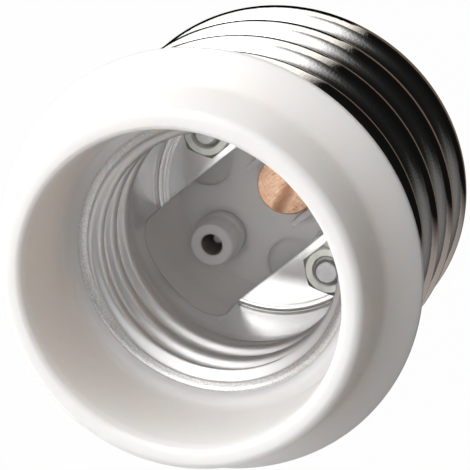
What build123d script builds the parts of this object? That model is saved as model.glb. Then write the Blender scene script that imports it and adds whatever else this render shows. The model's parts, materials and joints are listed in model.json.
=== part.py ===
from build123d import *
import math
import os

os.makedirs("parts", exist_ok=True)

# Lamp socket adapter: the big round lamp thread outside, the 27 mm round lamp thread inside.
# All sizes are millimetres.
# The origin is the middle of the end contact's flat face, and +Z runs up to the open mouth.
# X runs from the hollow boss to the root of the copper leaf. The two fixing screws lie near Y, on a line
# that is turned two degrees.
# Heights are written as depths below the mouth, because everything is seen from there.

total_height = 50.5


def level(depth):
    return total_height - depth


# Driving sizes of the white housing
lip_r = 18.2
lip_edge = 0.8
mouth_r = 16.2
mouth_edge = 0.35
lead_in_depth = 1.3
bore_r = 16.0
collar_r = 18.9
collar_depth = 5.9
flange_r = 21.8
flange_depth = 9.0
flange_land = 0.5
seat_r = 20.1
back_slope_depth = 11.3
seat_depth = 12.6
spigot_r = 19.05
spigot_depth = 13.4
stem_r = 17.25
ledge_depth = 11.0
well_r = 13.85
turn_depth = 31.0
turn_mid_r = 13.4
turn_mid_depth = 33.2
floor_r = 12.0
floor_depth = 35.0
recess_x = -5.1
recess_y = 7.3
recess_r = 2.9
recess_depth = 36.0
floor_back = 37.5

# Fixing screws, pedestals, boss and ribs
screw_x = 0.34
screw_y = 9.65
spot_a = (screw_x, -screw_y)
spot_b = (-screw_x, screw_y)
screw_hole_r = 1.65
pedestal_r = 3.4
boss_x = -9.2
boss_r = 2.33
boss_foot_r = 2.6
boss_foot_depth = 33.6
boss_top = 30.9
boss_hole_r = 1.2
rib_y = 3.9
rib_width = 0.8
rib_start = -1.6
rib_top = 32.5

# Rolled sheet of both shells
sheet = 0.35

# Inner thread, the 27 mm one, measured on the inside of the sheet
socket_major_r = 13.3
socket_minor_r = 12.2
socket_pitch = 3.629
socket_round = 1.025
socket_ridge_depth = 14.105
socket_rim_r = 13.75
socket_rim_depth = 10.65
socket_neck_r = 13.35
socket_neck_depth = 11.1
socket_thread_full = 11.9
socket_fade_start = 20.9
socket_fade_end = 22.3
socket_wall_r = 12.95
tab_depth = 31.2
cup_bend = 0.5
slot_half = 6.5
slot_end = 34.0
window_top = 25.0
window_round = 1.5
tab_hole_r = 1.6

# Outer thread, the big one, measured on the outside of the sheet
cap_crest_r = 19.6
cap_root_r = 17.8
cap_pitch = 6.35
cap_round = 1.85
cap_crest_depth = 17.36
skirt_r = 19.5
skirt_end = spigot_depth
cap_thread_full = 15.6
cap_fade_start = 36.9
cap_fade_end = 39.4
shoulder_r = 17.3
shoulder_depth = 40.2
rear_edge_r = 14.9
rear_edge_depth = 41.6

# Rear insulator and end contact
chamber_r = 13.1
chamber_depth = 40.4
cavity_r = 12.4
cavity_depth = 45.0
nose_r = 13.85
nose_depth = 44.5
nose_end_r = 12.2
nose_end = 48.5
pillar_r = 3.4
pillar_hole_r = 1.55
counterbore_r = 2.6
counterbore_depth = 41.0
rivet_hole_r = 1.55
contact_r = 5.8

# Copper strip
strip = 0.4
leaf_half = 3.25
leaf_top = 31.2
leaf_tip_x = -1.2
leaf_arch = 0.45
arch_end_x = 7.0
flat_start_x = 10.0
leg_x = 11.6
bend_r = 0.9
foot_end_x = -3.0

# Screws, nuts and washers
nut_across = 5.0
nut_height = 2.3
screw_r = 1.48
screw_length = 10.0
head_r = 2.8
head_height = 2.2
washer_r = 3.05
washer_bore = 1.6
washer_height = 0.8
link_half = 2.0


def smooth(value):
    value = min(max(value, 0.0), 1.0)
    return value * value * (3 - 2 * value)


def turned(points, centre=(0, 0)):
    """Half outline of a turned shape as one face, from pairs of radius and depth."""
    side = Plane(origin=(centre[0], centre[1], 0), x_dir=(1, 0, 0), z_dir=(0, -1, 0))
    with BuildSketch(side) as outline:
        with BuildLine():
            Polyline(*[(r, level(depth)) for r, depth in points], close=True)
        make_face()
    return outline.sketch.face()


def upright(x, y):
    return Axis((x, y, 0), (0, 0, 1))


def between(pairs, depth):
    """Straight interpolation in a short list of (depth, radius) pairs."""
    for (d0, r0), (d1, r1) in zip(pairs, pairs[1:]):
        if depth <= d1:
            return r0 + (r1 - r0) * max(depth - d0, 0) / (d1 - d0)
    return pairs[-1][1]


def wave(z, pitch, rounding, grow):
    """Round thread about its middle radius, crest at z = 0. Grow moves the skin outward."""
    centre = -math.sqrt(rounding ** 2 - (pitch / 4) ** 2)
    crest, root = rounding + grow, rounding - grow
    z = (z + pitch / 2) % pitch - pitch / 2
    if abs(z) <= pitch / 4 * crest / rounding:
        return centre + math.sqrt(crest ** 2 - z * z)
    return -centre - math.sqrt(root ** 2 - (pitch / 2 - abs(z)) ** 2)


def ring(corners, depth, radius_at):
    """One cross section of a threaded skin as a closed face of short straight edges."""
    turn = [2 * math.pi * k / corners for k in range(corners)]
    rim = [(radius_at(a, depth) * math.cos(a), radius_at(a, depth) * math.sin(a)) for a in turn]
    with BuildSketch(Plane.XY.offset(level(depth))) as cut:
        with BuildLine():
            Polyline(*rim, close=True)
        make_face()
    return cut.sketch.face()


def steps(first, last, count):
    return [first + (last - first) * k / count for k in range(count + 1)]


# The white housing, one moulding: a solid of revolution first, then the bore, then what stands on the floor
with BuildPart() as housing:
    revolve(turned([
        (0, 0), (lip_r - lip_edge, 0), (lip_r - 0.29 * lip_edge, 0.29 * lip_edge), (lip_r, lip_edge),
        (collar_r, collar_depth), (flange_r, flange_depth), (flange_r, flange_depth + flange_land),
        (seat_r, back_slope_depth), (seat_r, seat_depth), (spigot_r, seat_depth),
        (spigot_r, spigot_depth), (stem_r, spigot_depth), (stem_r, floor_back), (0, floor_back)]), Axis.Z)
    # lead-in, bore, ledge under the cup's rim, well, and a wall that curves in to the floor
    revolve(turned([
        (0, 0), (mouth_r + mouth_edge, 0), (mouth_r, mouth_edge), (bore_r, lead_in_depth),
        (bore_r, ledge_depth), (well_r, ledge_depth), (well_r, turn_depth), (turn_mid_r, turn_mid_depth),
        (floor_r, floor_depth), (0, floor_depth)]), Axis.Z, mode=Mode.SUBTRACT)
    # two shallow round recesses in the floor
    with BuildSketch(Plane.XY.offset(level(recess_depth))):
        with Locations((recess_x, recess_y), (recess_x, -recess_y)):
            Circle(recess_r)
    extrude(amount=recess_depth - floor_depth, mode=Mode.SUBTRACT)
    # pedestals under the two tabs, run out into the wall
    pedestal_run = stem_r - 2 - screw_y
    with BuildSketch(Plane.XY.offset(level(recess_depth + 0.5))):
        with Locations(spot_a, spot_b):
            Circle(pedestal_r)
        with Locations((spot_a[0], spot_a[1] - pedestal_run / 2), (spot_b[0], spot_b[1] + pedestal_run / 2)):
            Rectangle(2 * pedestal_r, pedestal_run)
    extrude(amount=recess_depth + 0.5 - tab_depth - sheet)
    # hollow boss for the rear screw, with a wider foot
    with BuildSketch(Plane.XY.offset(level(floor_depth))):
        with Locations((boss_x, 0)):
            Circle(boss_r)
    extrude(amount=floor_depth - boss_top)
    with BuildSketch(Plane.XY.offset(level(floor_depth))):
        with Locations((boss_x, 0)):
            Circle(boss_foot_r)
    extrude(amount=floor_depth - boss_foot_depth)
    # two low ribs that guide the leaf
    rib_end = well_r + 1
    with BuildSketch(Plane.XY.offset(level(floor_depth))):
        with Locations(((rib_start + rib_end) / 2, rib_y), ((rib_start + rib_end) / 2, -rib_y)):
            Rectangle(rib_end - rib_start, rib_width)
    extrude(amount=floor_depth - rib_top)
    # screw holes, boss hole and the slot for the leg of the leaf
    with BuildSketch(Plane.XY.offset(level(floor_back))):
        with Locations(spot_a, spot_b):
            Circle(screw_hole_r)
        with Locations((boss_x, 0)):
            Circle(boss_hole_r)
        with Locations((leg_x - strip / 2, 0)):
            Rectangle(0.9, 2 * leaf_half + 0.5)
    extrude(amount=floor_back - boss_top, mode=Mode.SUBTRACT)
housing.part.label = "housing"
export_step(housing.part, "parts/housing.step")


# The socket cup: rolled thread above, plain wall and closed bottom below, slotted right across
def socket_radius(grow):
    flare = 0.12 * math.copysign(1, grow) if grow else 0
    plain = [(socket_rim_depth, socket_rim_r + grow + flare), (socket_neck_depth, socket_neck_r + grow),
             (socket_thread_full, socket_major_r + grow), (socket_fade_start, socket_wall_r + grow)]
    middle = (socket_major_r + socket_minor_r) / 2

    def radius_at(angle, depth):
        rolled = smooth((depth - socket_neck_depth) / (socket_thread_full - socket_neck_depth))
        rolled *= smooth((socket_fade_end - depth) / (socket_fade_end - socket_fade_start))
        # the ridge stands inward, so the crest of the wave lies half a pitch away from it
        rise = level(depth) - level(socket_ridge_depth) - socket_pitch * (angle / (2 * math.pi) + 0.5)
        thread = middle + wave(rise, socket_pitch, socket_round, grow)
        base = between(plain, depth)
        return base + rolled * (thread - base)

    return radius_at


def fixed(radius):
    return lambda angle, depth: radius


socket_corners = 36
cup_levels = [socket_rim_depth] + steps(socket_neck_depth, socket_fade_end, 24)
inside, outside = socket_radius(0), socket_radius(sheet)
cup_outer = [ring(socket_corners, d, outside) for d in cup_levels]
cup_outer += [ring(socket_corners, tab_depth - cup_bend, fixed(socket_wall_r + sheet)),
              ring(socket_corners, tab_depth + 0.1, fixed(socket_wall_r + 0.1)),
              ring(socket_corners, tab_depth + sheet, fixed(socket_wall_r - cup_bend))]
cup_inner = [ring(socket_corners, d, inside) for d in cup_levels]
cup_inner += [ring(socket_corners, tab_depth - cup_bend, fixed(socket_wall_r)),
              ring(socket_corners, tab_depth - 0.15, fixed(socket_wall_r - 0.15)),
              ring(socket_corners, tab_depth, fixed(socket_wall_r - cup_bend))]
with BuildPart() as socket_shell:
    loft(cup_outer, ruled=True)
    loft(cup_inner, ruled=True, mode=Mode.SUBTRACT)
    with BuildSketch(Plane.YZ):
        with Locations((0, level((window_top + slot_end) / 2))):
            RectangleRounded(2 * slot_half, slot_end - window_top, window_round)
    extrude(amount=2 * well_r, both=True, mode=Mode.SUBTRACT)
    with BuildSketch(Plane.XY.offset(level(slot_end))):
        with Locations(spot_a, spot_b):
            Circle(tab_hole_r)
    extrude(amount=slot_end - tab_depth + 0.2, mode=Mode.SUBTRACT)
socket_shell.part.label = "socket_shell"
export_step(socket_shell.part, "parts/socket_shell.step")


# The outer sleeve: plain skirt, rolled thread, drawn shoulder with an open rear edge
def cap_radius(grow):
    plain = [(seat_depth, skirt_r + grow), (cap_thread_full, skirt_r + grow),
             (cap_fade_start, cap_root_r + grow), (cap_fade_end, cap_root_r + 1.08 * grow),
             (shoulder_depth, shoulder_r + 1.5 * grow), (rear_edge_depth, rear_edge_r + 1.98 * grow)]
    middle = (cap_crest_r + cap_root_r) / 2

    def radius_at(angle, depth):
        rolled = smooth((depth - skirt_end) / (cap_thread_full - skirt_end))
        rolled *= smooth((cap_fade_end - depth) / (cap_fade_end - cap_fade_start))
        rise = level(depth) - level(cap_crest_depth) - cap_pitch * angle / (2 * math.pi)
        thread = middle + wave(rise, cap_pitch, cap_round, grow)
        base = between(plain, depth)
        return base + rolled * (thread - base)

    return radius_at


cap_corners = 40
cap_levels = [seat_depth] + steps(skirt_end, cap_fade_end, 30) + [shoulder_depth, rear_edge_depth]
with BuildPart() as outer_shell:
    loft([ring(cap_corners, d, cap_radius(0)) for d in cap_levels], ruled=True)
    loft([ring(cap_corners, d, cap_radius(-sheet)) for d in cap_levels], ruled=True, mode=Mode.SUBTRACT)
outer_shell.part.label = "outer_shell"
export_step(outer_shell.part, "parts/outer_shell.step")


# The rear insulator closes the sleeve: flange, cone that seats in the shoulder, hollow nose
flat_share = math.cos(math.pi / cap_corners)
seat_run = (shoulder_r - rear_edge_r) / (rear_edge_depth - shoulder_depth)


def seat_at(depth):
    """Inner radius of the shoulder at the middle of its flats."""
    return flat_share * (shoulder_r - seat_run * (depth - shoulder_depth) - 1.98 * sheet) - 0.01


flange_end = shoulder_depth + 0.05
cone_end = rear_edge_depth + 0.15
with BuildPart() as base_insulator:
    revolve(turned([
        (0, floor_back), (seat_at(flange_end), floor_back), (seat_at(flange_end), flange_end),
        (seat_at(cone_end), cone_end), (nose_r, cone_end), (nose_r, nose_depth),
        (nose_end_r, nose_end), (0, nose_end)]), Axis.Z)
    revolve(turned([
        (0, floor_back), (chamber_r, floor_back), (chamber_r, chamber_depth), (cavity_r, chamber_depth),
        (cavity_r, cavity_depth), (0, cavity_depth)]), Axis.Z, mode=Mode.SUBTRACT)
    with BuildSketch(Plane.XY.offset(level(cavity_depth))):
        with Locations((boss_x, 0)):
            Circle(pillar_r)
    extrude(amount=cavity_depth - floor_back)
    with BuildSketch(Plane.XY.offset(level(nose_end))):
        with Locations((boss_x, 0)):
            Circle(counterbore_r)
        Circle(rivet_hole_r)
    extrude(amount=nose_end - counterbore_depth, mode=Mode.SUBTRACT)
    with BuildSketch(Plane.XY.offset(level(nose_end))):
        with Locations((boss_x, 0)):
            Circle(pillar_hole_r)
    extrude(amount=nose_end - floor_back, mode=Mode.SUBTRACT)
    # shallow way for the link strip, in the front face of the flange
    with BuildSketch(Plane.XY.offset(level(floor_back))):
        with Locations((0, chamber_r + 2)):
            Rectangle(2 * link_half + 0.4, 6)
    extrude(amount=-strip - 0.1, mode=Mode.SUBTRACT)
base_insulator.part.label = "base_insulator"
export_step(base_insulator.part, "parts/base_insulator.step")


# Copper strip: arched leaf, flat root, leg through the floor, foot under the rivet
def arched(x, sagitta):
    """Cross section of the leaf at x, arched across its width, or flat when the sagitta is zero."""
    edge = leaf_top + (sagitta if sagitta else leaf_arch / 2)
    top, low = level(leaf_top), level(edge)
    with BuildSketch(Plane.YZ.offset(x)) as cut:
        with BuildLine():
            if sagitta:
                ThreePointArc((-leaf_half, low), (0, top), (leaf_half, low))
                Line((leaf_half, low), (leaf_half, low - strip))
                ThreePointArc((leaf_half, low - strip), (0, top - strip), (-leaf_half, low - strip))
                Line((-leaf_half, low - strip), (-leaf_half, low))
            else:
                Polyline((-leaf_half, low), (leaf_half, low), (leaf_half, low - strip),
                         (-leaf_half, low - strip), close=True)
        make_face()
    return cut.sketch.face()


root_top = leaf_top + leaf_arch / 2
with BuildPart() as centre_contact:
    extrude(arched(leaf_tip_x, leaf_arch), amount=arch_end_x - leaf_tip_x)
    with BuildSketch(Plane.XY.offset(level(floor_depth))):
        with Locations((leaf_tip_x + leaf_half, 0)):
            Circle(leaf_half)
        with Locations((leaf_tip_x + leaf_half + 10, 0)):
            Rectangle(20, 2 * leaf_half)
    extrude(amount=floor_depth - leaf_top + 1, mode=Mode.INTERSECT)
    loft([arched(arch_end_x, leaf_arch), arched(flat_start_x, 0)], ruled=True)
    with BuildSketch(Plane.XZ) as strip_side:
        with BuildLine() as middle_line:
            half = strip / 2
            FilletPolyline((flat_start_x, level(root_top + half)), (leg_x - half, level(root_top + half)),
                           (leg_x - half, level(cavity_depth - half)),
                           (foot_end_x, level(cavity_depth - half)), radius=bend_r)
            offset(amount=half, side=Side.BOTH)
        make_face()
    extrude(amount=leaf_half, both=True)
    with BuildSketch(Plane.XY.offset(level(cavity_depth))):
        Circle(rivet_hole_r)
    extrude(amount=strip, mode=Mode.SUBTRACT)
centre_contact.part.label = "centre_contact"
export_step(centre_contact.part, "parts/centre_contact.step")

# End contact with a countersunk hole, and the rivet that holds it to the foot of the strip
with BuildPart() as end_contact:
    revolve(turned([
        (rivet_hole_r, nose_end), (contact_r, nose_end), (contact_r, total_height - 0.5),
        (contact_r - 0.5, total_height), (rivet_hole_r + 1, total_height),
        (rivet_hole_r, total_height - 1)]), Axis.Z)
end_contact.part.label = "end_contact"
export_step(end_contact.part, "parts/end_contact.step")

foot_top = cavity_depth - strip
with BuildPart() as end_rivet:
    revolve(turned([
        (0, foot_top - 0.9), (2.0, foot_top - 0.9), (2.6, foot_top - 0.4), (2.6, foot_top),
        (rivet_hole_r, foot_top), (rivet_hole_r, total_height - 1), (rivet_hole_r + 1, total_height),
        (0, total_height)]), Axis.Z)
end_rivet.part.label = "end_rivet"
export_step(end_rivet.part, "parts/end_rivet.step")

# Two nuts on the tabs
nut_top = tab_depth - nut_height
nut_bore = screw_r + 0.02
nut_corner_r = nut_across / math.sqrt(3)


def nut_blank(spot):
    """Turned blank with a chamfered upper rim."""
    return turned([
        (nut_bore, nut_top), (nut_across / 2 - 0.1, nut_top), (nut_corner_r, nut_top + 0.3),
        (nut_corner_r, tab_depth), (nut_bore, tab_depth)], spot)


def hexagon(spot, depth):
    with BuildSketch(Plane.XY.offset(level(depth))) as cut:
        with Locations(spot):
            RegularPolygon(nut_corner_r, 6)
    return cut.sketch.face()


with BuildPart() as tab_nut_a:
    revolve(nut_blank(spot_a), upright(*spot_a))
    extrude(hexagon(spot_a, tab_depth), amount=nut_height, mode=Mode.INTERSECT)
tab_nut_a.part.label = "tab_nut_a"
export_step(tab_nut_a.part, "parts/tab_nut_a.step")

with BuildPart() as tab_nut_b:
    revolve(nut_blank(spot_b), upright(*spot_b))
    extrude(hexagon(spot_b, tab_depth), amount=nut_height, mode=Mode.INTERSECT)
tab_nut_b.part.label = "tab_nut_b"
export_step(tab_nut_b.part, "parts/tab_nut_b.step")


# Two screws from behind, each head on a split ring. Screw b also holds the link strip.
def screw_outline(spot, bearing):
    return turned([
        (0, bearing - screw_length), (screw_r - 0.5, bearing - screw_length),
        (screw_r, bearing - screw_length + 0.3), (screw_r, bearing), (head_r, bearing),
        (head_r - 0.5, bearing + head_height), (0, bearing + head_height)], spot)


def cross_recess(centre, depth):
    with BuildSketch(Plane.XY.offset(level(depth))) as cut:
        with Locations(centre):
            Rectangle(3.0, 0.7)
            Rectangle(0.7, 3.0)
    return cut.sketch.face()


bearing_a = floor_back + washer_height
bearing_b = bearing_a + strip
with BuildPart() as tab_screw_a:
    revolve(screw_outline(spot_a, bearing_a), upright(*spot_a))
    extrude(cross_recess(spot_a, bearing_a + head_height), amount=1.2, mode=Mode.SUBTRACT)
tab_screw_a.part.label = "tab_screw_a"
export_step(tab_screw_a.part, "parts/tab_screw_a.step")

with BuildPart() as tab_screw_b:
    revolve(screw_outline(spot_b, bearing_b), upright(*spot_b))
    extrude(cross_recess(spot_b, bearing_b + head_height), amount=1.2, mode=Mode.SUBTRACT)
tab_screw_b.part.label = "tab_screw_b"
export_step(tab_screw_b.part, "parts/tab_screw_b.step")


def split_ring(spot, depth):
    """Flat ring with a narrow gap that points to -X."""
    with BuildSketch(Plane.XY.offset(level(depth))) as cut:
        with Locations(spot):
            Circle(washer_r)
            Circle(washer_bore, mode=Mode.SUBTRACT)
        with Locations((spot[0] - washer_r, spot[1])):
            Rectangle(2 * washer_r - 1, 0.5, rotation=20, mode=Mode.SUBTRACT)
    return cut.sketch.face()


with BuildPart() as lock_washer_a:
    extrude(split_ring(spot_a, bearing_a), amount=washer_height)
lock_washer_a.part.label = "lock_washer_a"
export_step(lock_washer_a.part, "parts/lock_washer_a.step")

with BuildPart() as lock_washer_b:
    extrude(split_ring(spot_b, bearing_b), amount=washer_height)
lock_washer_b.part.label = "lock_washer_b"
export_step(lock_washer_b.part, "parts/lock_washer_b.step")

# Link strip from screw b outward, folded back along the inside of the sleeve
cap_inner_flat = flat_share * (cap_root_r - sheet)
link_out = math.sqrt(cap_inner_flat ** 2 - link_half ** 2) - 0.02
with BuildPart() as shell_link:
    with BuildSketch(Plane.XY.offset(level(floor_back + strip))):
        with Locations(spot_b):
            Circle(3.2)
        with Locations((0, (screw_y + link_out) / 2)):
            Rectangle(2 * link_half, link_out - screw_y)
        with Locations(spot_b):
            Circle(screw_hole_r, mode=Mode.SUBTRACT)
    extrude(amount=strip)
    with BuildSketch(Plane.XZ.offset(-link_out)):
        with Locations((0, level((floor_back + cap_fade_end) / 2))):
            Rectangle(2 * link_half, cap_fade_end - floor_back)
    extrude(amount=strip)
shell_link.part.label = "shell_link"
export_step(shell_link.part, "parts/shell_link.step")

# Self-tapping screw from the rear, through the pillar into the hollow boss
with BuildPart() as base_screw:
    revolve(turned([
        (0, 33.2), (0.25, 33.2), (1.15, 34.6), (1.15, counterbore_depth), (2.3, counterbore_depth),
        (2.3, counterbore_depth + 1.2), (1.5, counterbore_depth + 1.9), (0, counterbore_depth + 1.9)],
        (boss_x, 0)), upright(boss_x, 0))
    extrude(cross_recess((boss_x, 0), counterbore_depth + 1.9), amount=1.0, mode=Mode.SUBTRACT)
base_screw.part.label = "base_screw"
export_step(base_screw.part, "parts/base_screw.step")
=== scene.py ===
# %% [markdown]
# # A lamp socket adapter, seen into its mouth
# The solids of this object come from a imported CAD model in its real size, in metres. This file gives every
# part its finish, and swaps the parts whose form is finer than the solids (the moulded housing, the rolled
# threads, the copper leaf, the nuts and the screws) for surfaces that are worked out with numpy.
# The frame is loaded first.

# %% Load the frame
import bpy, bmesh, json, math
import numpy as np
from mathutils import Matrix, Quaternion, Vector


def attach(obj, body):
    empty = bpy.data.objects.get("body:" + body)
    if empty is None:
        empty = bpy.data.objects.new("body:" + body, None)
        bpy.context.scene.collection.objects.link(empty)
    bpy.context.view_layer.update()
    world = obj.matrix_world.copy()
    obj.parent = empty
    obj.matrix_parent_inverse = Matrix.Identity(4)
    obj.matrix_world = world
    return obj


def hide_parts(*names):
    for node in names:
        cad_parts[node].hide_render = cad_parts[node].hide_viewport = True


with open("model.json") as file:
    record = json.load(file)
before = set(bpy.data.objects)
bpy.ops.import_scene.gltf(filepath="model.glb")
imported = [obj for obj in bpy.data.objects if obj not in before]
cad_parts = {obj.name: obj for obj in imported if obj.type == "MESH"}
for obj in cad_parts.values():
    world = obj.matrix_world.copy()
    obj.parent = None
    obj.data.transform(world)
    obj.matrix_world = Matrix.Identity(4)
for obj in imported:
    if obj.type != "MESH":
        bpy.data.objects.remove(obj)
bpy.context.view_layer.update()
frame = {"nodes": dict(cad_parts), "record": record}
nodes = frame["nodes"]
print("nodes:", sorted(nodes))

# %% [markdown]
# ## The camera
# The photograph was taken from above the open mouth, 64 degrees up, with a long lens turned a good deal
# about its own axis. The place of the eye and the turn come from fitting the circles of the mouth, the
# flange and the thread turns to the photograph. The field of view is 10.26 degrees across a square frame.

# %% Camera
MM = 0.001        # metres in a millimetre
TO_MM = 1000.0    # millimetres in a metre
eye = Vector((115.26, 12.90, 270.91)) * MM
aim = Vector((0.0, -0.03, 32.49)) * MM
turn = math.radians(-135.44)
camera_data = bpy.data.cameras.new("photo_camera")
camera_data.sensor_width = 36
camera_data.sensor_height = 36
camera_data.sensor_fit = "HORIZONTAL"
camera_data.lens = 200.55
camera_data.clip_start = 0.02
camera = bpy.data.objects.new("photo_camera", camera_data)
bpy.context.scene.collection.objects.link(camera)
bpy.context.scene.camera = camera
gaze = (aim - eye).to_track_quat("-Z", "Y")
camera.rotation_mode = "QUATERNION"
camera.rotation_quaternion = gaze @ Quaternion((0, 0, 1), turn)
camera.location = eye
print("distance from eye to aim, mm:", round((aim - eye).length / MM, 1))

# %% [markdown]
# ## Sizes shared by finishes and pieces
# The same sizes as in the model's source, in millimetres, apart from the round corners of the cup's slot,
# which are larger here. Heights count up from the end contact, and the mouth is at 50.5. The object was
# measured from its mouth, so `level` turns a depth below the mouth into a height.

# %% Shared sizes
mouth_height = 50.5


def level(depth):
    """Height = height of the mouth - depth."""
    return mouth_height - depth


sheet = 0.35                                        # both rolled shells
tab_depth = 31.2                                    # upper face of the cup's two tabs
spots = {"a": (0.34, -9.65), "b": (-0.34, 9.65)}    # the two fixing screws
boss_x = -9.2                                       # the hollow boss of the rear screw
slot_half, slot_corner, slot_top = 6.5, 2.6, level(25.0)
leaf_half, leaf_tip = 3.25, -1.2                    # half the strip's width, and where its round end starts
print("mouth at", mouth_height, "mm, tabs at", round(level(tab_depth), 2), "mm")

# %% [markdown]
# ## Shader maths as plain expressions
# A finish is a formula over the surface: distance from the axis, angle, a noise, a mask. Clicking such a
# formula together from Math nodes is slow to read, so one small class wraps a socket and turns +, -, * and
# / into the nodes that do it. All other nodes come from one method, `node`.

# %% Socket wrapper
class Link:
    """An output socket of a material's node tree that can be used in an expression."""

    def __init__(self, tree, socket):
        self.tree, self.socket = tree, socket

    def maths(self, operation, first, second=0.0, clamp=False):
        """One Math node on two values or links."""
        return node(self.tree, "ShaderNodeMath", {"operation": operation, "use_clamp": clamp},
                    {0: first, 1: second})

    def __add__(self, other): return self.maths("ADD", self, other)
    def __radd__(self, other): return self.maths("ADD", other, self)
    def __sub__(self, other): return self.maths("SUBTRACT", self, other)
    def __rsub__(self, other): return self.maths("SUBTRACT", other, self)
    def __mul__(self, other): return self.maths("MULTIPLY", self, other)
    def __rmul__(self, other): return self.maths("MULTIPLY", other, self)
    def __truediv__(self, other): return self.maths("DIVIDE", self, other)
    def clamped(self): return self.maths("ADD", self, 0.0, clamp=True)
    def at_least(self, other): return self.maths("MAXIMUM", self, other)
    def at_most(self, other): return self.maths("MINIMUM", self, other)
    def angle_to(self, other): return self.maths("ARCTAN2", self, other)
    def absolute(self): return self.maths("ABSOLUTE", self)
    def root(self): return self.maths("SQRT", self)
    def cosine(self): return self.maths("COSINE", self)
    def sine(self): return self.maths("SINE", self)
    def exponential(self): return self.maths("EXPONENT", self)


def node(tree, kind, settings=None, inputs=None, output=0):
    """Add a node: first its settings, then the values or links of its sockets."""
    made = tree.nodes.new(kind)
    for key, value in (settings or {}).items():
        if key == "stops":
            ramp = made.color_ramp
            while len(ramp.elements) < len(value):
                ramp.elements.new(0.5)
            for element, (position, colour) in zip(ramp.elements, value):
                element.position = position
                element.color = (*colour, 1.0)
        else:
            setattr(made, key, value)
    for key, value in (inputs or {}).items():
        if isinstance(value, Link):
            tree.links.new(value.socket, made.inputs[key])
        else:
            made.inputs[key].default_value = value
    return Link(tree, made.outputs[output])

# %% [markdown]
# Every finish starts as a material that holds only its output and a Principled shader. Colours go through a
# Mix node, because a Math node would turn them grey.

# %% Materials and colours
def new_material(name):
    """A material with only its output and a Principled shader."""
    material = bpy.data.materials.new(name)
    material.use_nodes = True
    tree = material.node_tree
    tree.nodes.clear()
    shader = tree.nodes.new("ShaderNodeBsdfPrincipled")
    out = tree.nodes.new("ShaderNodeOutputMaterial")
    tree.links.new(shader.outputs[0], out.inputs[0])
    return material, tree, shader


def set_inputs(tree, shader, **values):
    """Set or link sockets of the Principled shader; spaces in a name are written as _."""
    for key, value in values.items():
        socket = shader.inputs[key.replace("_", " ")]
        if isinstance(value, Link):
            tree.links.new(value.socket, socket)
        else:
            socket.default_value = value


def mix(tree, factor, a, b):
    """Mix two colours or colour links by a factor: a where it is 0, b where it is 1."""
    made = tree.nodes.new("ShaderNodeMix")
    made.data_type = "RGBA"
    for socket, value in ((made.inputs[0], factor), (made.inputs[6], a), (made.inputs[7], b)):
        if isinstance(value, Link):
            tree.links.new(value.socket, socket)
        else:
            socket.default_value = (*value, 1.0) if isinstance(value, tuple) else value
    return Link(tree, made.outputs[2])

# %% [markdown]
# Patterns read Object coordinates, because the pieces sit at the origin in their real size: so a pattern
# stays where it is on the object, and its scale can be thought of in millimetres. Most parts here are
# turned or rolled, and their marks run around the axis. Coordinates that follow them come from a point on a
# circle, so that the pattern closes where the angle jumps.

# %% Coordinates, noise and bump
def place(tree, scale=(1, 1, 1), shift=(0, 0, 0)):
    """Object coordinates in millimetres, stretched by scale."""
    return node(tree, "ShaderNodeMapping", None,
                {"Vector": node(tree, "ShaderNodeTexCoord", output="Object"),
                 "Scale": tuple(TO_MM * s for s in scale), "Location": shift})


def millimetres(tree):
    """The object coordinates x, y and z, each as a link of its own, in millimetres."""
    where = node(tree, "ShaderNodeTexCoord", output="Object")
    split = node(tree, "ShaderNodeSeparateXYZ", None, {0: where}).socket.node
    return [Link(tree, split.outputs[k]) * TO_MM for k in range(3)]


def distance(x, y):
    """Root of x squared plus y squared."""
    return (x * x + y * y).root()


def around_axis(tree, along, around):
    """Coordinates that follow a turned part: the angle as a point on a circle of radius `around`, and the
    height times `along`. A large value makes the marks short in that direction."""
    x, y, z = millimetres(tree)
    angle = y.angle_to(x)
    return node(tree, "ShaderNodeCombineXYZ", None,
                {0: angle.cosine() * around, 1: angle.sine() * around, 2: z * along})


def noise(tree, at, scale, detail=3.0, roughness=0.5):
    """Soft noise between 0 and 1, mostly near 0.5."""
    return node(tree, "ShaderNodeTexNoise", None,
                {"Vector": at, "Scale": scale, "Detail": detail, "Roughness": roughness})


def bump(tree, height, strength, depth):
    """Normal tilted by a height map whose full range stands for `depth` millimetres."""
    return node(tree, "ShaderNodeBump", None,
                {"Height": height, "Strength": strength, "Distance": depth * MM})

# %% [markdown]
# ## The finishes
# The housing is a white moulded plastic with a fairly glossy skin. Mouldings are never perfectly even: the
# skin has a very weak long ripple, and its gloss varies a little. Light enters white plastic and comes out
# a millimetre or two away, warmer than it went in, which lifts the shaded walls. Subsurface does that.
# Shade is painted into the bore of the rear boss: close around its axis and below the bore's edge the colour
# is dark.

# %% White moulding
bore_shade_radius, bore_shade_top = 1.24, 19.45
white_moulding, t, s = new_material("white_moulding")
ripple = noise(t, place(t), 0.35, 2.0)
grain = noise(t, place(t), 9.0, 4.0, 0.6)
x, y, high = millimetres(t)
# painted shade: the bore's wall is darkened close to its axis, below the bore's edge
painted_bore_shade = ((bore_shade_radius - distance(x - boss_x, y)) * 20.0).clamped() * ((bore_shade_top - high) * 4.0).clamped()
skin = mix(t, ripple, (0.905, 0.874, 0.852), (0.925, 0.894, 0.872))
set_inputs(t, s, Base_Color=mix(t, painted_bore_shade, skin, (0.16, 0.12, 0.10)),
           Roughness=0.30 + 0.10 * ripple + 0.05 * grain, Coat_Weight=0.15, Coat_Roughness=0.15, IOR=1.5,
           Subsurface_Weight=0.8, Subsurface_Radius=(1.0, 0.85, 0.75), Subsurface_Scale=3.0 * MM,
           Normal=bump(t, ripple * 0.8 + grain * 0.06, 0.25, 0.10))
print("white moulding:", len(t.nodes), "nodes")
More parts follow.
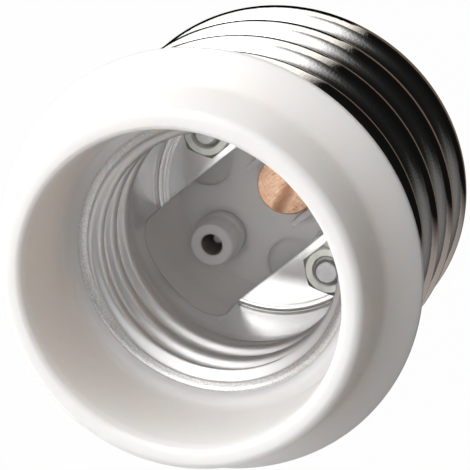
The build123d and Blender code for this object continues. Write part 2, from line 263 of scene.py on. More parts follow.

# %% [markdown]
# The socket cup is soft aluminium sheet. Rolling leaves very fine marks that run around the cup, and the
# metal is not polished, so highlights are spread. The marks are a noise that is stretched along the ring.
# The flared rim was pressed by a rough tool: a much finer, stronger grain takes over there, and glitters.
# The plain wall and the bottom were not rolled: they are smoother, with faint streaks from drawing that run
# down the wall. The thread is a little duller, and shade is painted on it as a darker colour. Masks of the
# height turn each of these on.

# %% Satin aluminium: where the cup was worked in which way
rim_low, thread_low, tab_side_high, wall_low = 39.30, 27.0, 28.0, 20.0
satin_aluminium, t, s = new_material("satin_aluminium")
_, across_slot, high = millimetres(t)
rim = ((high - rim_low) * 12.0).clamped()
thread_part = ((high - thread_low) * 0.8).clamped() * (1.0 - rim)
wall_part = ((high - wall_low) * 1.5).clamped()
# the tabs and the wall above them lie to both sides of the slot: full beyond 7 mm from its middle line
tab_side = ((across_slot * across_slot - 30.0) * 0.05).clamped()
flat_part = ((tab_side_high - high) * 0.8).clamped() * tab_side

# %% [markdown]
# Shade is painted along the sheared edge of the slot. It is a narrow dark band by the distance from the
# slot's outline, whose upper corners are round: beyond the centre of a corner's arc, the distance from that
# centre counts.

# %% Satin aluminium: painted shade at the sheared edge
edge_band = 0.17
past_side = (across_slot.absolute() - (slot_half - slot_corner)).at_least(0.0)
past_top = (high - (slot_top - slot_corner)).at_least(0.0)
# painted shade: a dark band along the slot's cut edge
slot_edge_shade = ((slot_corner + edge_band - distance(past_side, past_top)) * 9.0).clamped()

# %% [markdown]
# The masks now choose between the noises. Metal shows its finish mostly through roughness and bump; the
# colour darkens in the grain of the rim, and painted shade darkens it on the thread and at the sheared edge.

# %% Satin aluminium: finish
marks = noise(t, around_axis(t, along=9.0, around=2.2), 1.6, 5.0, 0.6)
cloud = noise(t, place(t), 0.5, 3.0)
glitter = noise(t, place(t), 5.5, 2.0, 0.7)
drawn = noise(t, around_axis(t, along=0.12, around=9.0), 1.3, 3.0, 0.6)
speckle = rim * ((glitter - 0.5) * 5.0 + 0.5).clamped()
streaks = drawn * flat_part * (0.15 + 0.9 * wall_part)
bare_sheet = mix(t, cloud, (0.90, 0.895, 0.89), (0.95, 0.95, 0.95))
# painted shade: the thread is given a darker colour than the plain sheet
sheet_colour_with_thread_shade = mix(t, thread_part, bare_sheet, (0.81, 0.805, 0.80))
dullness = 0.27 + 0.16 * marks + 0.06 * cloud + 0.05 * thread_part
set_inputs(t, s, Metallic=1.0, Roughness=dullness * (1.0 - 0.5 * flat_part) + 0.04 * rim,
           Base_Color=mix(t, speckle * 0.28 + slot_edge_shade * 0.55, sheet_colour_with_thread_shade, (0.30, 0.30, 0.32)),
           Normal=bump(t, marks * 0.4 + rim * glitter * 2.0 + streaks, 0.40, 0.06))
print("satin aluminium:", len(t.nodes), "nodes")

# %% [markdown]
# The outer sleeve is bright nickel plate: nearly a mirror, slightly warm, with a faint orange peel from the
# rolled sheet below the plating.

# %% Nickel plate
nickel_plate, t, s = new_material("nickel_plate")
marks = noise(t, around_axis(t, along=5.0, around=4.0), 1.2, 4.0, 0.6)
peel = noise(t, place(t), 4.0, 3.0)
set_inputs(t, s, Base_Color=mix(t, peel, (0.80, 0.785, 0.76), (0.88, 0.865, 0.84)), Metallic=1.0,
           Roughness=0.05 + 0.07 * marks, Normal=bump(t, marks * 0.5 + peel, 0.12, 0.06))
print("nickel plate:", len(t.nodes), "nodes")

# %% [markdown]
# The contact strip is bare copper that was scoured: short scratches lie mostly along it, some across. Two
# stretched noises give them, and the metal is darker and redder in the scratches. A dark reflection is
# painted as a brown streak along the crown of the arch, a little slanted: one minus the square of the
# distance from its middle line. Shade is painted along the sheared outline of the half-round end too.

# %% Brushed copper
copper, t, s = new_material("copper")
along = noise(t, place(t, scale=(0.5, 2.6, 1.0)), 1.9, 5.0, 0.7)
across = noise(t, place(t, scale=(2.4, 0.7, 1.0), shift=(7, 3, 0)), 1.5, 5.0, 0.7)
scratches = along * 0.6 + across * 0.4
contrast = ((scratches - 0.5) * 3.4 + 0.5).clamped()
x, y, _ = millimetres(t)
# painted reflection: a dark brown streak along the crown of the arch
from_reflection_streak = y * 0.925 - x * 0.380 + 0.35 + scratches * 1.5
painted_reflection_streak = (1.0 - from_reflection_streak * from_reflection_streak * 1.3).clamped() * (0.55 + 0.35 * contrast)
before_arc = (x - (leaf_tip + leaf_half)).at_most(0.0)
# painted shade along the cut outline of the half-round end
painted_edge_shade = ((distance(before_arc, y) - (leaf_half - edge_band)) * 8.0).clamped() * 0.75
bare = mix(t, contrast, (0.70, 0.31, 0.17), (1.0, 0.78, 0.58))
set_inputs(t, s, Base_Color=mix(t, painted_reflection_streak.at_least(painted_edge_shade), bare, (0.26, 0.10, 0.05)),
           Metallic=1.0, Roughness=0.22 + 0.22 * contrast, Normal=bump(t, scratches, 0.8, 0.12))
print("copper:", len(t.nodes), "nodes")

# %% [markdown]
# Nuts and screws are steel with thin zinc plating. The nuts have a slightly yellow-green passivation, which
# is uneven from grain to grain; the screws are plain bright zinc. The hidden link strip is plain copper with
# the same blotches.

# %% Zinc on steel
def plated_steel(name, dark, pale, rough):
    """Metal that goes from a dark to a pale tone in blotches, with a fine grain in its gloss."""
    material, t, s = new_material(name)
    blotch = noise(t, place(t), 1.1, 3.0)
    fine = noise(t, place(t), 14.0, 3.0, 0.6)
    set_inputs(t, s, Base_Color=mix(t, blotch, dark, pale), Metallic=1.0,
               Roughness=rough + 0.14 * fine, Normal=bump(t, fine * 0.6 + blotch * 1.2, 0.5, 0.10))
    return material


zinc_steel = plated_steel("zinc_steel", (0.50, 0.51, 0.44), (0.74, 0.74, 0.71), 0.24)
bright_steel = plated_steel("bright_steel", (0.40, 0.40, 0.41), (0.72, 0.72, 0.72), 0.22)
link_copper = plated_steel("link_copper", (0.70, 0.42, 0.28), (0.86, 0.58, 0.42), 0.28)

# %% [markdown]
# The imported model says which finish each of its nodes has. Nodes that get no new surface, such as the rear
# insulator, the end contact and the washers, are dressed by this alone.

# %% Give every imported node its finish
finish_of = {"white_moulding": white_moulding, "satin_aluminium": satin_aluminium,
             "nickel_plate": nickel_plate, "copper": copper, "link_copper": link_copper,
             "zinc_steel": zinc_steel, "bright_steel": bright_steel}
slot_of = {part["node"]: part["material_slot"] for part in frame["record"]["subparts"]}
for name, obj in nodes.items():
    obj.data.materials.clear()
    obj.data.materials.append(finish_of[slot_of[name]])
print("finishes:", sorted(set(slot_of.values())))

# %% [markdown]
# ## Surfaces from arrays
# A shape is a grid of points: rows along a profile, columns around the axis. `surface` turns the grid into
# a mesh, closes it in either direction, and merges the points that meet in a pole.

# %% Grid to mesh
merge_distance = 1e-7    # metres


def surface(name, grid, close_rows=False, close_columns=True, smooth_angle=35):
    """Mesh from a grid of points of shape (rows, columns, 3) in millimetres: one face between each four
    neighbours, smooth where two faces meet at less than smooth_angle."""
    rows, columns = grid.shape[:2]
    index = np.arange(rows * columns).reshape(rows, columns)
    if close_rows:
        index = np.concatenate([index, index[:1]], axis=0)
    if close_columns:
        index = np.concatenate([index, index[:, :1]], axis=1)
    corners = [index[:-1, :-1], index[:-1, 1:], index[1:, 1:], index[1:, :-1]]
    quads = np.stack(corners, axis=-1).reshape(-1, 4)
    mesh = bpy.data.meshes.new(name)
    mesh.from_pydata((grid.reshape(-1, 3) * MM).tolist(), [], quads.tolist())
    work = bmesh.new()
    work.from_mesh(mesh)
    bmesh.ops.remove_doubles(work, verts=work.verts, dist=merge_distance)
    bmesh.ops.recalc_face_normals(work, faces=work.faces)
    work.to_mesh(mesh)
    work.free()
    mesh.shade_smooth()
    mesh.set_sharp_from_angle(angle=math.radians(smooth_angle))
    obj = bpy.data.objects.new(name, mesh)
    bpy.context.scene.collection.objects.link(obj)
    return obj

# %% [markdown]
# Most pieces are turned forms. `turned` puts points at a radius, an angle and a height, and `revolved` does
# that for a whole profile. Real edges are never sharp, so `rounded` puts an arc on each corner of a profile.

# %% Turned forms
def turned(radius, angle, height, centre=(0, 0)):
    """Points at x = centre + radius * cosine of the angle, y = centre + radius * sine of the angle."""
    return np.stack([centre[0] + radius * np.cos(angle), centre[1] + radius * np.sin(angle),
                     height + 0 * angle], axis=-1)


def revolved(profile, around=256, centre=(0, 0)):
    """Grid of a profile of (radius, height) turned about a vertical line through centre."""
    angle = np.linspace(0, 2 * np.pi, around, endpoint=False)
    return turned(profile[:, 0][:, None], angle, profile[:, 1][:, None], centre)


def rounded(corners, steps=8, support=0.06):
    """Profile through corners (radius, height, rounding): each corner becomes an arc between its two runs,
    with one extra point a little way along each run, which keeps the flat runs flat in shading."""
    line = []
    for k, (r, z, rounding) in enumerate(corners):
        here = np.array((r, z), float)
        if rounding <= 0 or k in (0, len(corners) - 1):
            line.append(here)
            continue
        before = np.array(corners[k - 1][:2], float) - here
        after = np.array(corners[k + 1][:2], float) - here
        before /= np.linalg.norm(before)
        after /= np.linalg.norm(after)
        half = math.acos(np.clip(before @ after, -1, 1)) / 2
        reach = rounding / math.tan(half)
        middle = here + (before + after) / np.linalg.norm(before + after) * rounding / math.sin(half)
        start, end = here + before * reach, here + after * reach
        line.append(start + before * support)
        for share in np.linspace(0, 1, steps + 1):
            spoke = (start - middle) * (1 - share) + (end - middle) * share
            line.append(middle + spoke / np.linalg.norm(spoke) * rounding)
        line.append(end + after * support)
    return np.array(line)

# %% [markdown]
# Holes and recesses are cut as a tool would cut them: a closed body stands where material has to go, and an
# exact boolean takes it away. `dress` then gives a finished piece its material, lets it ride on the body of
# the object, and hides the imported nodes it stands for.

# %% Cutting and dressing
def post(x, y, radius, low, high, around=48):
    """Closed upright cylinder: a turned form with a pole at both ends."""
    return revolved(np.array([(0, low), (radius, low), (radius, high), (0, high)]), around, (x, y))


def boxed(x, y, z):
    """Closed box from (low, high) pairs: a form with four sides and a pole at both ends."""
    ring = np.array([(x[0], y[0]), (x[1], y[0]), (x[1], y[1]), (x[0], y[1])])
    pole = np.repeat(ring.mean(axis=0)[None], 4, 0)
    return np.array([np.column_stack([outline, np.full(4, height)])
                     for outline, height in ((pole, z[0]), (ring, z[0]), (ring, z[1]), (pole, z[1]))])


def cut(obj, tools, smooth_angle=35):
    """Take closed bodies away from a closed mesh, then drop them."""
    for body in tools:
        step = obj.modifiers.new("cut", "BOOLEAN")
        step.operation = "DIFFERENCE"
        step.solver = "EXACT"
        step.object = body
    bpy.context.view_layer.update()
    ready = bpy.data.meshes.new_from_object(obj.evaluated_get(bpy.context.evaluated_depsgraph_get()))
    obj.modifiers.clear()
    obj.data = ready
    ready.name = obj.name
    ready.shade_smooth()
    ready.set_sharp_from_angle(angle=math.radians(smooth_angle))
    for body in tools:
        bpy.data.objects.remove(body)
    return obj


def dress(obj, finish, *replaced):
    """Give a new piece its finish, let it ride on the only body, and hide the nodes it stands for."""
    obj.data.materials.clear()
    obj.data.materials.append(finish_of[finish])
    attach(obj, "root")
    if replaced:
        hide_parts(*replaced)
    print(obj.name, "triangles", sum(len(p.vertices) - 2 for p in obj.data.polygons))
    return obj

# %% [markdown]
# ## The white housing
# On the real thing this is one injection moulding. Its outline is a solid of revolution with soft edges,
# so one closed profile is turned about the axis: up the inside from the middle of the floor, over the lip
# and down the outside. Mouldings have a radius on every edge, hence `rounded`. Low down the wall of the well
# curves in to the floor: an arc that leaves the upright wall smoothly and meets the floor in a clear edge.

# %% Housing: turned form
floor_depth, floor_back, seat_depth, spigot_depth = 35.0, 37.5, 12.6, 13.4
well_r, bore_r, ledge_depth = 13.85, 16.0, 11.0
flange_r, seat_r, spigot_r, stem_r = 21.8, 20.1, 19.05, 17.25
arc_depth, arc_r = 31.0, 5.25
arc_angles = np.linspace(math.asin((floor_depth - arc_depth) / arc_r), 0.0, 14)
# each corner is (radius, height, rounding)
inside = [(0.0, level(floor_depth), 0), (11.9, level(floor_depth), 0)]
inside += [(well_r - arc_r + arc_r * math.cos(a), level(arc_depth + arc_r * math.sin(a)), 0)
           for a in arc_angles]
inside += [(well_r, level(ledge_depth), 0.35), (bore_r, level(ledge_depth), 1.1),
           (bore_r, level(1.3), 0.8), (16.2, level(0.0), 0.55)]
outside = [(18.2, level(0.0), 0.85), (18.9, level(5.9), 1.6),
           (flange_r, level(9.0), 0.35), (flange_r, level(9.5), 0.3),
           (seat_r, level(11.3), 0.5), (seat_r, level(seat_depth), 0.25),
           (spigot_r, level(seat_depth), 0.1), (spigot_r, level(spigot_depth), 0.1),
           (stem_r, level(spigot_depth), 0.1), (stem_r, level(floor_back), 0.3),
           (0.0, level(floor_back), 0)]
housing_skin = surface("housing_skin", revolved(rounded(inside + outside), 288))
print("housing profile:", len(inside + outside), "corners")

# %% [markdown]
# The floor is open for the rear screw, the two fixing screws and the leg of the copper strip, and has two
# shallow round recesses beside the boss.

# %% Housing: openings in the floor
below, above = level(38.5), level(33.0)
tools = [surface("hole_boss", post(boss_x, 0, 1.2, below, above))]
for name, spot in spots.items():
    tools.append(surface("hole_screw_" + name, post(*spot, 1.65, below, above)))
for name, recess_y in (("a", -7.3), ("b", 7.3)):
    recess = post(-5.1, recess_y, 2.9, level(35.7), level(34.0), 72)
    tools.append(surface("recess_" + name, recess))
tools.append(surface("slot_leg", boxed((10.95, 11.85), (-3.5, 3.5), (below, above))))
dress(cut(housing_skin, tools), "white_moulding", "housing")

# %% [markdown]
# On the moulded floor stand a hollow boss for the rear screw, two round-ended pedestals that carry the tabs
# of the cup, and two low ribs beside the copper leaf. The boss is turned; pedestals and ribs are outlines
# drawn around a middle line and raised, with a rounded top edge. All of them reach a little into the floor.

# %% Housing: boss, pedestals and ribs
boss_top, sunk = level(30.9), level(35.2)
boss_profile = rounded([(1.2, sunk, 0), (1.2, boss_top, 0.18), (2.33, boss_top, 0.22),
                        (2.36, level(33.7), 0.2), (2.62, level(34.0), 0.1), (2.62, sunk, 0)], 5)
boss = surface("housing_boss", revolved(boss_profile, 96, (boss_x, 0)), close_rows=True)
dress(boss, "white_moulding", "housing")


def pad_outline(radius, run, count=24):
    """Round-ended outline: a half circle at the near end, straight sides out to run."""
    angle = np.linspace(np.pi, 2 * np.pi, count)
    side = np.column_stack([radius * np.cos(angle), radius * np.sin(angle)])
    return np.vstack([side, [(radius, run), (-radius, run)]])


def raised(outline, low, high, edge):
    """Grid of an outline raised from low to high, closed at both ends. Along the upper edge a quarter turn
    a shrinks it by edge * (1 - cosine of a) while it climbs by edge * sine of a."""
    middle = outline.mean(axis=0)
    size = np.abs(outline - middle).max()
    rows = [(0.0, low), (1.0, low)]
    for a in np.linspace(0, 1, 6) * math.pi / 2:
        rows.append((1 - edge / size * (1 - math.cos(a)), high - edge + edge * math.sin(a)))
    rows.append((0.0, high))
    return np.array([np.column_stack([middle + (outline - middle) * k, np.full(len(outline), z)])
                     for k, z in rows])


rib_outline = np.array([(-1.2, -0.32), (13.3, -0.32), (13.3, 0.32), (-1.2, 0.32)])
for name, side in (("a", -1), ("b", 1)):
    outline = pad_outline(3.4, 4.4) * (1, side) + spots[name]
    pad = surface("housing_pedestal_" + name, raised(outline, level(36.3), level(tab_depth + sheet), 0.2))
    dress(pad, "white_moulding", "housing")
for name, side in (("a", -1), ("b", 1)):
    outline = rib_outline + (0, side * 3.8)
    rib = surface("housing_rib_" + name, raised(outline, sunk, level(32.5), 0.15))
    dress(rib, "white_moulding", "housing")

# %% [markdown]
# ## The round thread
# Both threads of this object are rolled: the sheet goes in and out in one wave of arcs that climbs with the
# angle. The wave is worked out here once, for the small thread and for the big one.

# %% Thread wave
def smooth(value):
    """Ease from 0 to 1: three times the square less twice the cube, and level beyond both ends."""
    value = np.clip(value, 0, 1)
    return value * value * (3 - 2 * value)


def wave(z, pitch, rounding, grow):
    """Round thread: two arcs per pitch. centre is the height of the crest arc's centre, below the middle
    line; grow moves the skin outward, so the crest arc gets larger and the root arc smaller."""
    centre = -math.sqrt(rounding ** 2 - (pitch / 4) ** 2)
    crest, root = rounding + grow, rounding - grow
    z = (z + pitch / 2) % pitch - pitch / 2
    on_crest = np.abs(z) <= pitch / 4 * crest / rounding
    far = pitch / 2 - np.abs(z)
    return np.where(on_crest, centre + np.sqrt(np.maximum(crest ** 2 - z * z, 0)),
                    -centre - np.sqrt(np.maximum(root ** 2 - far ** 2, 0)))

# %% [markdown]
# ## The threaded cup
# A drawn cup of thin aluminium with the small round thread rolled into it. A rolled thread is one wave that
# climbs with the angle: the radius depends on height minus pitch times the share of a turn. Both skins of
# the sheet come from the same wave, the outer one moved out by the sheet. At the rim the sheet flares out;
# further down the wave fades into a plain wall, which turns in to the bottom. The drawing tool left a
# shallow ring groove in the bottom, just beside the bend.

# %% Cup: skins of the rolled sheet
socket_pitch, socket_round, ridge_depth = 3.629, 1.025, 14.105
rim_depth, neck_depth, rolled_depth, fade_depth, plain_depth = 10.65, 11.1, 11.9, 20.9, 22.3
rim_r, neck_r, major_r, minor_r, wall_r = 13.75, 13.35, 13.30, 12.2, 12.95
groove_run = np.array([0.12, 0.22, 0.32, 0.46, 0.60, 0.68, 1.2])
groove = 0.10 * np.array([0.0, 0.6, 1.0, 0.6, 0.0, 0.0, 0.0])


def cup_skin(depth, angle, grow):
    """Radius = plain wall + share of rolling times (thread - plain wall)."""
    plain = np.interp(depth, [rim_depth, neck_depth, rolled_depth, fade_depth, plain_depth],
                      [rim_r, neck_r, major_r, wall_r, wall_r]) + grow
    # the flare leans out, so its outer skin lies a little further off than the sheet
    plain = plain + (grow > 0) * 0.12 * np.clip((neck_depth - depth) / 0.45, 0, 1)
    rolled = smooth((depth - neck_depth) / 0.8) * smooth((plain_depth - depth) / 1.4)
    rise = ridge_depth - depth - socket_pitch * (angle / (2 * np.pi) + 0.5)
    thread = (major_r + minor_r) / 2 + wave(rise, socket_pitch, socket_round, grow)
    return plain + rolled * (thread - plain)


def cup_bottom(angle, radius, depth, bend):
    """Plain wall, bend and flat bottom of one skin, down to the middle: the bend is a quarter turn."""
    quarter = np.linspace(0, np.pi / 2, 8)
    r = np.concatenate([[radius, radius], radius - bend + bend * np.cos(quarter),
                        radius - bend - groove_run, [6.0, 0.0]])
    d = np.concatenate([[25.0, 28.0], depth - bend + bend * np.sin(quarter), depth - groove,
                        [depth, depth]])
    return r[:, None] + 0 * angle, d[:, None]


def cup_grid(around=288, bend=0.6):
    """Both skins in one grid: from the middle of the bottom up the inside, over the rim and down again."""
    angle = np.linspace(0, 2 * np.pi, around, endpoint=False)[None, :]
    wall = np.linspace(rim_depth, 23.0, 110)[:, None]
    inner, outer = cup_skin(wall, angle, 0.0), cup_skin(wall, angle, sheet)
    r_in, d_in = cup_bottom(angle, wall_r, tab_depth, bend)
    r_out, d_out = cup_bottom(angle, wall_r + sheet, tab_depth + sheet, bend + sheet)
    edge = (inner[:1] + outer[:1]) / 2
    radius = np.concatenate([r_in[::-1], inner[::-1], edge, outer, r_out])
    depth = np.concatenate([d_in[::-1], wall[::-1], [[rim_depth - 0.12]], wall, d_out])
    return turned(radius, angle, level(depth))


cup = surface("cup_sheet", cup_grid(), smooth_angle=50)
print("cup: pitch", socket_pitch, "mm, sheet", sheet, "mm")

# %% [markdown]
# The cup's bottom is slotted right across, which leaves two tabs and opens two windows in the wall, so that
# the floor and the leaf show. The slot is a long rounded body that is cut away, as a press tool does it.

# %% Cup: slot and tab holes
corner = np.linspace(0, np.pi / 2, 10)
slot_outline = np.vstack([
    np.column_stack([slot_half - slot_corner + slot_corner * np.sin(corner),
                     slot_top - slot_corner + slot_corner * np.cos(corner)]),
    [(slot_half, level(34.0)), (-slot_half, level(34.0))],
    np.column_stack([-slot_half + slot_corner - slot_corner * np.cos(corner),
                     slot_top - slot_corner + slot_corner * np.sin(corner)])])
slot_pole = np.repeat(slot_outline.mean(axis=0)[None], len(slot_outline), 0)
slot_rows = [np.column_stack([np.full(len(slot_outline), x), outline]) for x, outline in (
    (-20, slot_pole), (-20, slot_outline), (20, slot_outline), (20, slot_pole))]
tools = [surface("slot_tool", np.array(slot_rows))]
for name, spot in spots.items():
    tools.append(surface("tab_hole_" + name, post(*spot, 1.6, level(33.0), level(30.0))))
dress(cut(cup, tools, 40), "satin_aluminium", "socket_shell")

# %% [markdown]
# ## The outer sleeve
# The same idea on a larger scale: a sheet sleeve with the big thread. It starts as a plain skirt over the
# housing's spigot and ends in a drawn shoulder with an open edge.

# %% Sleeve
cap_pitch, cap_round, crest_depth = 6.35, 1.85, 17.36
crest_r, root_r = 19.6, 17.8
# upper edge, end of the skirt, where the thread fades, its end, start of the shoulder, open rear edge
sleeve_depths = [12.6, 15.6, 36.9, 39.4, 40.2, 41.6]
sleeve_radii = [19.5, 19.5, root_r, root_r, 17.3, 14.9]


def cap_skin(depth, angle, grow):
    """Radius = plain wall + share of rolling times (thread - plain wall). On the slanted shoulder the two
    skins lie further apart than the sheet is thick, measured level."""
    plain = np.interp(depth, sleeve_depths, sleeve_radii)
    plain = plain + grow * np.interp(depth, [39.3, 39.5, 40.1, 40.3], [1.0, 1.18, 1.18, 1.98])
    rolled = smooth((depth - spigot_depth) / 2.2) * smooth((sleeve_depths[3] - depth) / 2.5)
    rise = crest_depth - depth - cap_pitch * angle / (2 * np.pi)
    thread = (crest_r + root_r) / 2 + wave(rise, cap_pitch, cap_round, grow)
    return plain + rolled * (thread - plain)


def sleeve_grid(around=300):
    """Both skins in one grid: down the outside, around the open edge and up the inside."""
    angle = np.linspace(0, 2 * np.pi, around, endpoint=False)[None, :]
    wall = np.concatenate([[12.6, 12.7], np.linspace(13.3, 39.4, 118), np.linspace(39.5, 41.6, 14)])[:, None]
    outer, inner = cap_skin(wall, angle, 0.0), cap_skin(wall, angle, -sheet)
    low_edge, high_edge = (outer[-1:] + inner[-1:]) / 2, (outer[:1] + inner[:1]) / 2
    radius = np.concatenate([outer, low_edge, inner[::-1], high_edge])
    depth = np.concatenate([wall, [[41.66]], wall[::-1], [[12.55]]])
    return turned(radius, angle, level(depth))


sleeve = surface("sleeve_sheet", sleeve_grid(), close_rows=True, smooth_angle=50)
dress(sleeve, "nickel_plate", "outer_shell")

# %% [markdown]
# ## The copper leaf
# One strip: an arched leaf with a half-round end, a bend at the wall, a leg down through the floor and a
# foot under the rivet. Its middle surface is a function of the run along the strip and the place across it;
# a Solidify modifier gives the thickness and a Bevel the slightly rounded sheared edges.

# %% Leaf
strip, strip_bend = 0.4, 0.9
leaf_height, foot_height, leg_x, foot_end = level(31.4), level(44.8), 11.4, -3.0


def leaf_grid(across=33):
    """Half the width at a run s is the root of leaf_half squared less (leaf_half - s) squared in the round
    end, and leaf_half after it. The arch rises by 0.45 * (0.5 - (place across / leaf_half) squared), and
    dies away between 8.2 and 11.2 mm of run."""
    path = rounded([(leaf_tip, leaf_height, 0), (leg_x, leaf_height, strip_bend),
                    (leg_x, foot_height, strip_bend), (foot_end, foot_height, 0)], 10, 0.2)
    length = np.concatenate([[0], np.cumsum(np.hypot(*np.diff(path, axis=0).T))])
    tip = leaf_half * (1 - np.cos(np.linspace(0.0, np.pi / 2, 20)))
    s = np.unique(np.concatenate([tip, np.linspace(leaf_half, length[-1], 90)]))
    x, z = np.interp(s, length, path[:, 0]), np.interp(s, length, path[:, 1])
    in_tip = np.sqrt(np.maximum(leaf_half ** 2 - (leaf_half - s) ** 2, 1e-6))
    half = np.where(s < leaf_half, in_tip, leaf_half)
    v = np.sin(np.linspace(-np.pi / 2, np.pi / 2, across))[None, :]
    y = half[:, None] * v
    arch = 0.45 * (1 - smooth((s - 8.2) / 3.0))[:, None]
    rise = arch * (0.5 - (y / leaf_half) ** 2)
    return np.stack([x[:, None] + 0 * v, y, z[:, None] + rise], axis=-1)


leaf = surface("leaf_strip", leaf_grid(), close_columns=False, smooth_angle=60)
thick = leaf.modifiers.new("sheet", "SOLIDIFY")
thick.thickness = strip * MM
thick.offset = 0
edge = leaf.modifiers.new("edge", "BEVEL")
edge.width = 0.05 * MM
edge.segments = 2
edge.limit_method = "ANGLE"
dress(leaf, "copper", "centre_contact")

# %% [markdown]
# ## Nuts and screws
# A hexagon nut is a hexagon bar whose corners were turned off at 30 degrees. As a grid: every row has one
# radius for each angle, and the outer rows use the hexagon's own radius, half width over cos(angle from the
# middle of the flat). The chamfer then drops by tan(30) times the run beyond the turned circle.

# %% Nuts
nut_half, nut_crown, nut_bore = 2.5, 2.42, 1.34
nut_top, nut_low, chamfer = level(28.9), level(tab_depth), 0.58


def nut_grid(centre, around=96):
    """Rows up the bore, over its countersink and the flat top, and down the chamfer and the six sides."""
    angle = np.linspace(0, 2 * np.pi, around, endpoint=False)
    hexagon = nut_half / np.cos(angle % (np.pi / 3) - np.pi / 6)
    drop = chamfer * (hexagon - nut_crown)
    rows = [(nut_bore, nut_low), (nut_bore, nut_top - 0.34), (1.66, nut_top - 0.03), (1.72, nut_top),
            (nut_crown - 0.04, nut_top), (nut_crown + 0.02, nut_top - 0.03),
            (hexagon - 0.03, nut_top - drop - 0.01), (hexagon, nut_top - drop - 0.05),
            (hexagon, nut_low + drop), (nut_crown, nut_low)]
    return np.array([turned(r, angle, z, centre) for r, z in rows])


for name, spot in spots.items():
    nut = surface("hex_nut_" + name, nut_grid(spot), close_rows=True, smooth_angle=25)
    dress(nut, "zinc_steel", "tab_nut_" + name)

# %% [markdown]
# A screw is turned too, with a thread that is rolled in: the radius is reduced by a triangle wave of height
# and angle. The end is slightly domed, and the head carries a cross recess, which two boxes cut out.

# %% Screws
def screw_grid(centre, end, bearing, radius, pitch, cut_depth, head, head_low, nose, taper, around=48):
    """Rows from the middle of the end down the threaded rod, out over the head and back to its middle.
    Radius = rod, narrowed to the share nose at the end, less the groove's triangle wave."""
    angle = np.linspace(0, 2 * np.pi, around, endpoint=False)[None, :]
    z = np.concatenate([[end, end - 0.02, end - 0.10], np.arange(end - 0.26, bearing + 0.05, -pitch / 8)])
    run = end - z
    dome = np.interp(run, [0, 0.02, 0.1, 0.26], [0, 0.90, 0.97, 1])
    rod = radius * (nose + (1 - nose) * np.clip(run / taper, 0, 1)) * dome
    turns = (z[:, None] / pitch - angle / (2 * np.pi)) % 1.0
    groove_cut = cut_depth * np.abs(2 * turns - 1) ** 1.3 * np.clip((run - 0.1) / 0.3, 0, 1)[:, None]
    r = np.maximum(rod[:, None] - groove_cut, 0.0)
    shank = radius - cut_depth * 0.5
    tail_r = [shank, shank, head, head, head - 0.5, head - 0.55, 0.0]
    tail_z = [bearing + 0.04, bearing, bearing, bearing - 0.1, head_low + 0.05, head_low, head_low]
    r = np.vstack([r, np.array(tail_r)[:, None] + 0 * angle])
    return turned(r, angle, np.concatenate([z, tail_z])[:, None], centre)


def cross_cut(screw, centre, low, wide=1.5, slim=0.35, deep=1.2):
    """Cut a cross recess of two boxes into the head."""
    x, y = centre
    depth = (low - 0.2, low + deep)
    return cut(screw, [surface("recess_x", boxed((x - wide, x + wide), (y - slim, y + slim), depth)),
                       surface("recess_y", boxed((x - slim, x + slim), (y - wide, y + wide), depth))], 30)


for name, bearing in (("a", level(38.3)), ("b", level(38.7))):
    head_low = bearing - 2.2
    screw = surface("fixing_screw_" + name, screw_grid(
        spots[name], end=bearing + 10.0, bearing=bearing, radius=1.48, pitch=0.5, cut_depth=0.26,
        head=2.8, head_low=head_low, nose=0.8, taper=0.55), smooth_angle=30)
    dress(cross_cut(screw, spots[name], head_low), "bright_steel", "tab_screw_" + name)
rear_screw = surface("rear_screw", screw_grid(
    (boss_x, 0), end=level(33.2), bearing=level(41.0), radius=1.16, pitch=0.9, cut_depth=0.26,
    head=2.3, head_low=level(42.9), nose=0.45, taper=1.4), smooth_angle=30)
dress(cross_cut(rear_screw, (boss_x, 0), level(42.9), deep=1.0), "bright_steel", "base_screw")

# %% [markdown]
# ## The floor
# A pale floor. The camera sees it as white through the Light Path node, so the light need not be bright.
# The bright sleeve is a mirror, and in the photograph it shows a white table on one side, a dark room on the
# side towards the viewer, and something between on the rest. So a painted reflection of that room is what a
# mirror sees of the floor, and it changes with the bearing from the object: white, then black, then
# brown-grey. Close to the object it is dark instead, a painted shadow of the object, further out where the
# table is mirrored, which draws the thin dark line along the lower edge of each turn; behind the object the
# painted shadow is lighter again. The sheet lies a little under the end contact, so that the two don't share
# a plane.

# %% Floor: what a mirror sees of it
half_side, under = 2.0, -2e-5    # metres
floor_mesh = bpy.data.meshes.new("floor")
floor_mesh.from_pydata([(-half_side, -half_side, under), (half_side, -half_side, under),
                        (half_side, half_side, under), (-half_side, half_side, under)], [], [(0, 1, 2, 3)])
floor = bpy.data.objects.new("floor", floor_mesh)
bpy.context.scene.collection.objects.link(floor)
floor_material = bpy.data.materials.new("pale_floor")
floor_material.use_nodes = True
t = floor_material.node_tree
t.nodes.clear()
x, y, _ = millimetres(t)
bearings = (
    (-180, (0.80, 0.79, 0.78)), (-125, (0.56, 0.53, 0.50)), (-105, (0.36, 0.33, 0.31)),
    (-66, (0.22, 0.19, 0.18)), (-52, (0.004, 0.004, 0.004)), (24, (0.004, 0.004, 0.004)),
    (33, (0.95, 0.90, 0.84)), (48, (1.0, 1.0, 1.0)), (150, (1.0, 1.0, 1.0)), (180, (0.80, 0.79, 0.78)))
# painted reflection of a room: the floor's colour for mirrors by the bearing from the object
painted_room_reflection = node(t, "ShaderNodeValToRGB",
                 {"stops": [((bearing + 180) / 360, colour) for bearing, colour in bearings]},
                 {0: y.angle_to(x) / (2 * math.pi) + 0.5})
table_side = ((painted_room_reflection - 0.5) * 4.0).clamped()
slant = ((10.0 - x) * 0.05).clamped()
behind = ((x * -1.0 - 14.0) * 0.12).clamped()
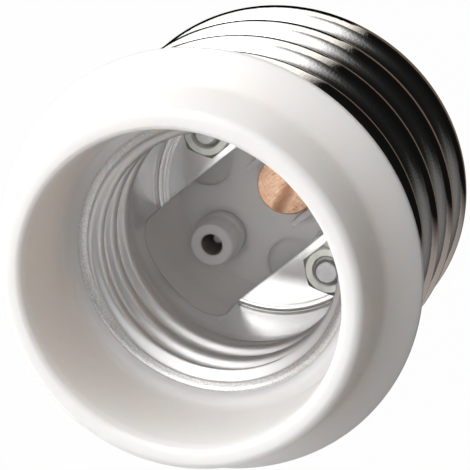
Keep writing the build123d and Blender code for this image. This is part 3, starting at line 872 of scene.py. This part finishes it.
# painted shadow of the object on the floor, as mirrors see it, lighter behind the object
painted_object_shadow = mix(t, table_side, (0.115, 0.082, 0.06), (0.003, 0.003, 0.003))
painted_object_shadow = mix(t, behind, painted_object_shadow, (0.45, 0.43, 0.41))
shadow_reach = 30.0 + table_side * (7.0 + 11.0 * slant)
seen = mix(t, ((distance(x, y) - shadow_reach) * 0.8).clamped(), painted_object_shadow, painted_room_reflection)
print("floor: bearings of the mirrored room", [bearing for bearing, _ in bearings])

# %% [markdown]
# The floor itself is a grey diffuse sheet that takes the object's shadow. A Mix Shader lays white over it
# for the camera, almost fully, so that a trace of the shadow stays. Mirrors see what was worked out above.

# %% Floor: shader
path = node(t, "ShaderNodeLightPath")
mirrored = Link(t, path.socket.node.outputs["Is Glossy Ray"])
clear = Link(t, path.socket.node.outputs["Is Transmission Ray"])
soft = node(t, "ShaderNodeBsdfDiffuse", None, {"Color": (0.30, 0.30, 0.30, 1)})
shown = node(t, "ShaderNodeEmission", None, {"Color": mix(t, mirrored, (1.0, 1.0, 1.0), seen),
                                             "Strength": 1.0 + 0.35 * mirrored})
both = node(t, "ShaderNodeMixShader", None,
            {0: (path * 0.985 + mirrored + clear).clamped(), 1: soft, 2: shown})
out = t.nodes.new("ShaderNodeOutputMaterial")
t.links.new(both.socket, out.inputs[0])
floor_mesh.materials.append(floor_material)
print("floor:", len(t.nodes), "nodes")

# %% [markdown]
# ## Light
# All light is the world's: soft lobes, each strength * exp(sharpness * (cosine of the angle to its middle -
# 1)). Lobes light rounded white plastic without a hard edge, and metal mirrors them as soft gradients. Three
# bright ones low on one side are the windows that light the outside of the moulding. Two narrow high ones
# shine down into the cup and make the highlights on its wall and tabs. The others are wide and weak: the
# room above the windows, the ceiling, and a trace of light on the far side. A low even level fills the rest,
# and the light fades towards the viewer's side, which the sleeve mirrors as black. The camera itself sees
# plain white.

# %% World
world = bpy.data.worlds.new("soft_room")
bpy.context.scene.world = world
world.use_nodes = True
t = world.node_tree
t.nodes.clear()
where = node(t, "ShaderNodeTexCoord")    # in a world the first output is the direction looked at


def facing(direction):
    """Cosine of the angle between a ray and a direction."""
    return node(t, "ShaderNodeVectorMath", {"operation": "DOT_PRODUCT"}, {0: where, 1: direction},
                output="Value")


lobes = (    # azimuth and elevation of the middle in degrees, sharpness, strength
    (75, 0, 30, 10.5), (150, 0, 30, 6.0), (175, 0, 30, 8.5),                            # windows
    (147, 62, 40, 2.6), (191, 63, 36, 2.7),                                             # into the cup
    (80, 25, 12, 2.7), (46, 28, 40, 1.2), (55, 48, 14, 1.1), (80, 68, 14, 0.80),        # above the windows
    (0, 88, 9, 0.55), (285, 36, 9, 0.16))                                               # ceiling, far side
even_level = 0.05
brightness = even_level
for azimuth, elevation, sharpness, strength in lobes:
    a, e = math.radians(azimuth), math.radians(elevation)
    middle = (math.cos(e) * math.cos(a), math.cos(e) * math.sin(a), math.sin(e))
    brightness = brightness + ((facing(middle) - 1.0) * sharpness).exponential() * strength
viewer_side = ((facing((0.959, -0.118, 0.259)) - 0.76) * 8.0).clamped()
brightness = brightness * (1.0 - 0.85 * viewer_side)
room = node(t, "ShaderNodeBackground", None, {"Color": (1, 1, 1, 1), "Strength": brightness})
paper = node(t, "ShaderNodeBackground", None, {"Color": (1, 1, 1, 1), "Strength": 1.0})
both = node(t, "ShaderNodeMixShader", None, {0: node(t, "ShaderNodeLightPath"), 1: room, 2: paper})
out = t.nodes.new("ShaderNodeOutputWorld")
t.links.new(both.socket, out.inputs[0])
bpy.context.scene.view_settings.view_transform = "Standard"
print("lobes of light:", len(lobes))
